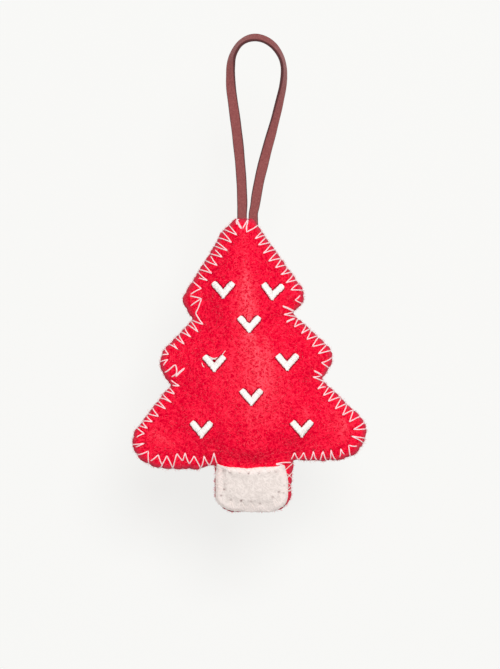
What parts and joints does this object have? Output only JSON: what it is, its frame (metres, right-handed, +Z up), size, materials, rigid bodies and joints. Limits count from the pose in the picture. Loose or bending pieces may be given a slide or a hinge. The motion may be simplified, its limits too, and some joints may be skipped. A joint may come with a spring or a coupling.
{
  "type": "felt tree ornament",
  "caption": "Stuffed felt tree with zigzag stitched edge, embroidered chevrons and trunk patch, hanging from a flat suede lace loop.",
  "frame": {"origin": "the place where a hook carries the lace, at the lowest line of the inside of the top of its loop", "axes": "+Z up along the hanging tree, +X to the right seen from the embroidered front, +Y to the back"},
  "size_m": [0.0951, 0.0223, 0.1918],
  "materials": {
    "red_felt": "matt pressed wool felt, lightly fuzzy",
    "pale_felt": "matt thin pressed felt",
    "edge_floss": "twisted cotton, slight sheen",
    "patch_floss": "twisted cotton, slight sheen",
    "satin_floss": "satin stitch, soft sheen",
    "brown_suede": "napped faux suede",
    "white_fibre": "loose polyester fibre"
  },
  "bodies": {
    "loop": {"hanging_lace": "brown_suede"},
    "tree": {"front_felt": "red_felt", "back_felt": "red_felt", "fibre_filling": "white_fibre", "trunk_patch": "pale_felt", "edge_thread": "edge_floss", "patch_thread": "patch_floss", "chevron_top_left": "satin_floss", "chevron_top_right": "satin_floss", "chevron_upper_middle": "satin_floss", "chevron_middle_left": "satin_floss", "chevron_middle_right": "satin_floss", "chevron_lower_middle": "satin_floss", "chevron_bottom_left": "satin_floss", "chevron_bottom_right": "satin_floss", "lace_end_left": "brown_suede", "lace_end_right": "brown_suede"}
  },
  "joints": [
    {"name": "tree_swing", "type": "hinge", "parent": "loop", "child": "tree", "pos_m": [-0.00253, 0, -0.06988], "axis": [1, 0, 0], "range_deg": [-90, 90]}
  ]
}
